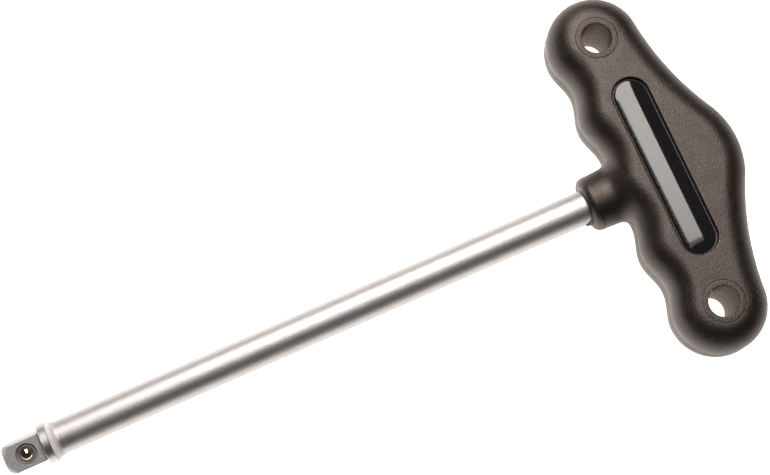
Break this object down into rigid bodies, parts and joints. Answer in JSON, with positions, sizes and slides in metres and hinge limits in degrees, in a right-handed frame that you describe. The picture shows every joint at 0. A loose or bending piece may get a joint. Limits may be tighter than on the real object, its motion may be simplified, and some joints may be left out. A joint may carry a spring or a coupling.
{
  "type": "t-handle square drive wrench",
  "caption": "T-handle wrench: straight steel shank with a square drive and spring ball at one end and a moulded cross grip with finger grooves and hanging holes at the other.",
  "frame": {"origin": "centre of the square drive's flat end face", "axes": "+X along the shank towards the handle, +Y along the cross grip, +Z out of the grip's front face"},
  "size_m": [0.2654, 0.1298, 0.0276],
  "materials": {
    "shank": "satin chrome plate",
    "ball": "polished bearing steel",
    "spring": "drawn spring wire",
    "grip": "fine spark-eroded texture, black",
    "core": "plain moulded",
    "bar": "bright drawn bar",
    "bush": "moulded, smoother in the bore",
    "foil": "black printed foil",
    "dome": "gloss domed resin, black"
  },
  "bodies": {
    "wrench": {"shank": "shank", "detent_spring": "spring", "grip_shell": "grip", "handle_core": "core", "cross_bar": "bar", "lock_pin": "bar", "hole_bush_upper": "bush", "hole_bush_lower": "bush", "label_foil_front": "foil", "label_dome_front": "dome", "label_foil_rear": "foil", "label_dome_rear": "dome"},
    "ball": {"detent_ball": "ball"}
  },
  "joints": [
    {"name": "ball_press", "type": "slide", "parent": "wrench", "child": "ball", "axis": [0, 0.2588, -0.9659], "range_m": [0, 0.00115], "stiffness_N_per_m": 2500, "springref_m": -0.0008, "deforming": ["detent_spring"]}
  ]
}
